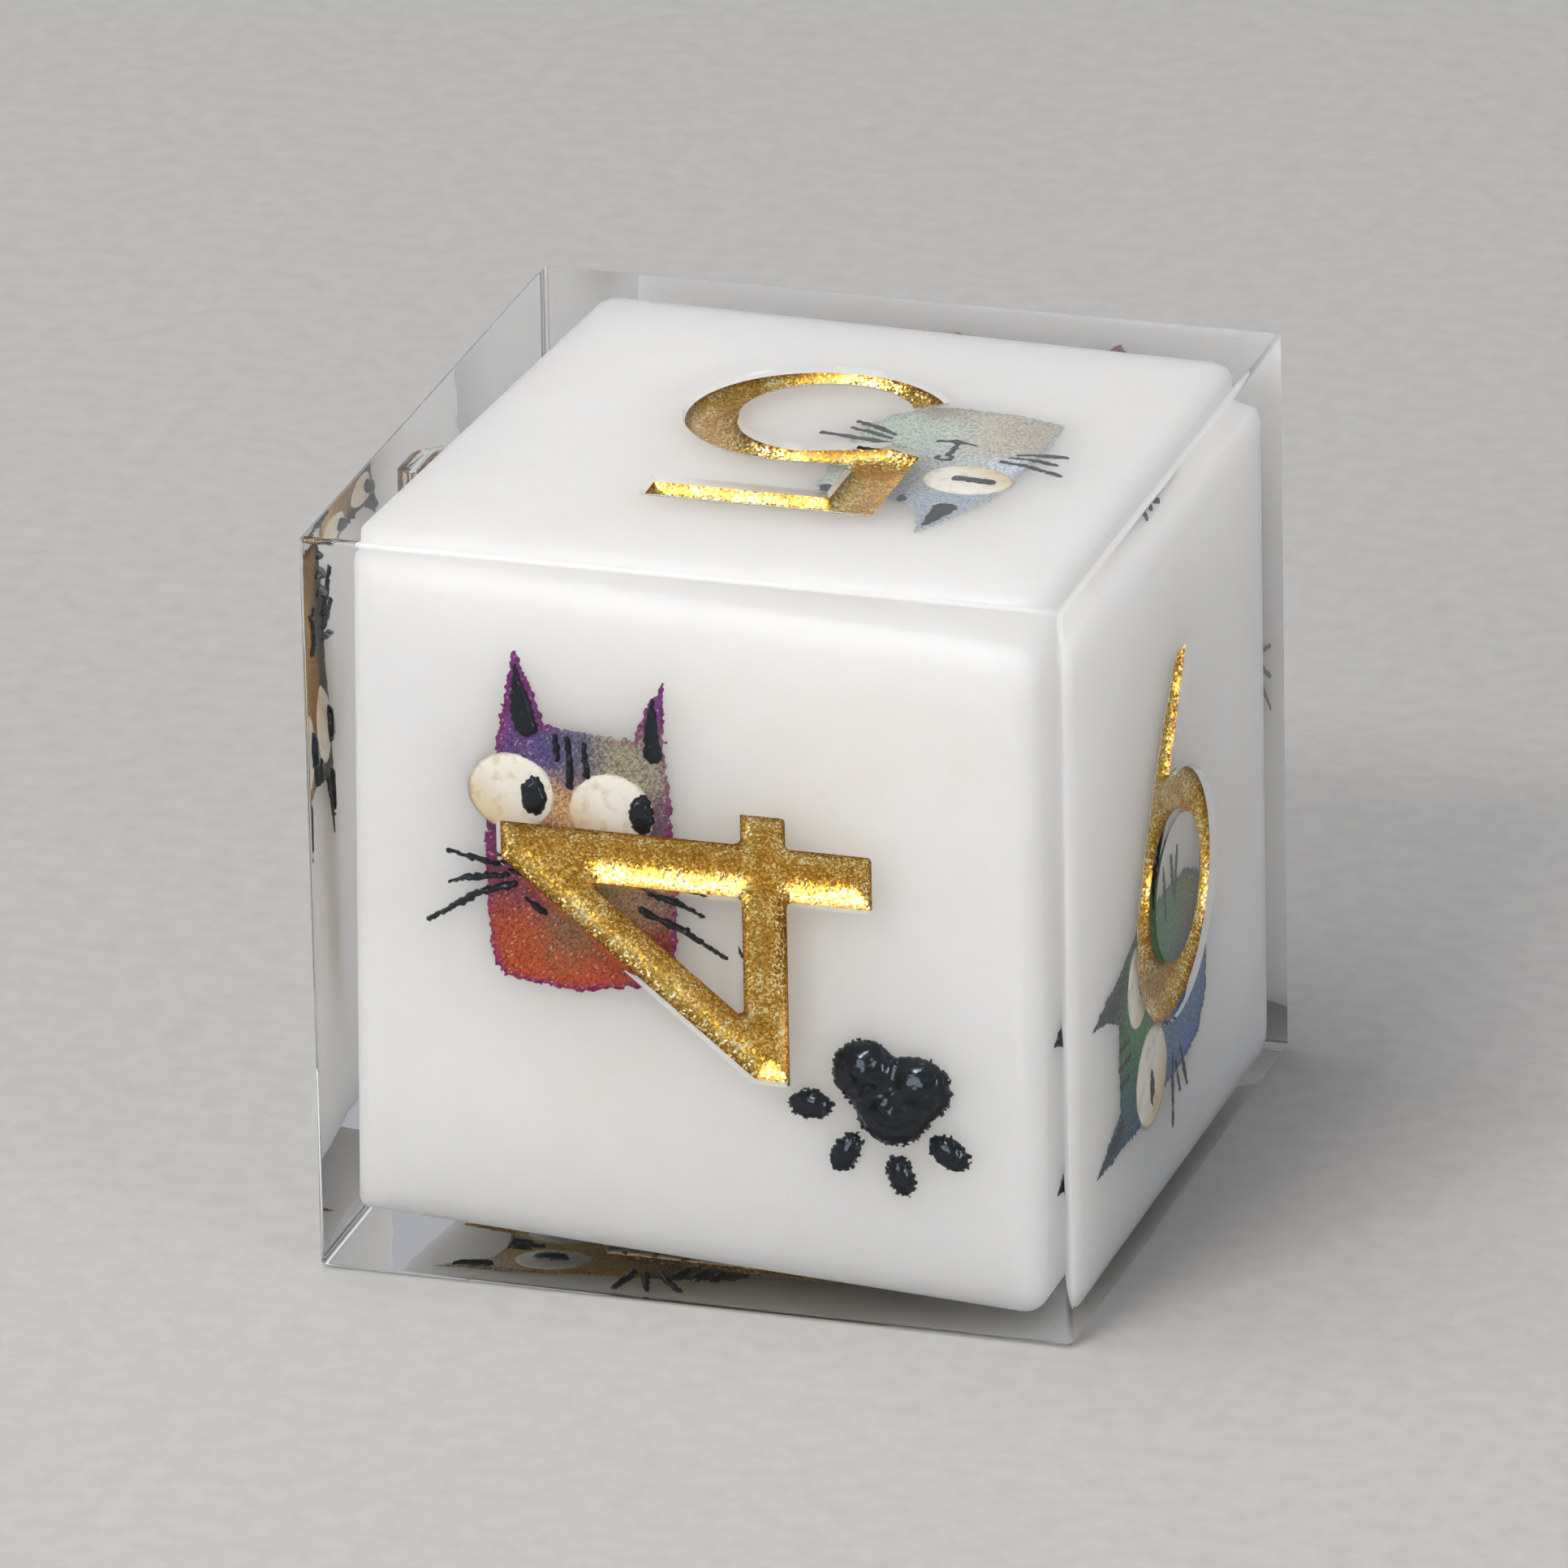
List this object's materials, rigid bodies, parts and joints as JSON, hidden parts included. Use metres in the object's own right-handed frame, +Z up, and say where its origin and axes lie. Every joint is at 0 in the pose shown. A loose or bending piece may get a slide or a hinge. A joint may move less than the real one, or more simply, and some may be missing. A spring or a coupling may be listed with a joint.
{
  "type": "polyhedral die",
  "caption": "Cubic gaming die: a white core printed with cats, cast in clear resin, with engraved and gilded numerals on its faces.",
  "frame": {"origin": "middle of the square face that the die rests on, the face of the two", "axes": "+Z up through the face of the five, +X through the face of the six, -Y through the face of the four"},
  "size_m": [0.016, 0.016, 0.016],
  "materials": {
    "clear_resin": "polished clear epoxy resin",
    "white_resin": "opaque white resin, satin",
    "gold_paint": "glittery gold metallic paint in the engraving",
    "black_ink": "raised glossy black cured ink",
    "cream_ink": "raised cream cured ink",
    "purple_coat_ink": "stippled print, purple to orange brown",
    "grey_green_coat_ink": "stippled print, pale green, tan and blue grey",
    "blue_green_coat_ink": "stippled print, green to slate blue",
    "tan_coat_ink": "stippled print, tan and dark brown",
    "ginger_coat_ink": "stippled print, ginger and cream",
    "golden_coat_ink": "stippled print, golden brown"
  },
  "bodies": {
    "root": {"back_cat_coat_ink": "ginger_coat_ink", "back_cat_eye_ink": "cream_ink", "back_cat_line_ink": "black_ink", "bottom_cat_coat_ink": "golden_coat_ink", "bottom_cat_eye_ink": "cream_ink", "bottom_cat_line_ink": "black_ink", "clear_casing": "clear_resin", "front_cat_coat_ink": "purple_coat_ink", "front_cat_eye_ink": "cream_ink", "front_cat_line_ink": "black_ink", "front_paw_print_ink": "black_ink", "left_cat_coat_ink": "tan_coat_ink", "left_cat_eye_ink": "cream_ink", "left_cat_line_ink": "black_ink", "numeral_five_gilding": "gold_paint", "numeral_four_gilding": "gold_paint", "numeral_one_gilding": "gold_paint", "numeral_six_gilding": "gold_paint", "numeral_three_gilding": "gold_paint", "numeral_two_gilding": "gold_paint", "right_cat_coat_ink": "blue_green_coat_ink", "right_cat_eye_ink": "cream_ink", "right_cat_line_ink": "black_ink", "top_cat_coat_ink": "grey_green_coat_ink", "top_cat_eye_ink": "cream_ink", "top_cat_line_ink": "black_ink", "white_core": "white_resin"}
  },
  "joints": []
}
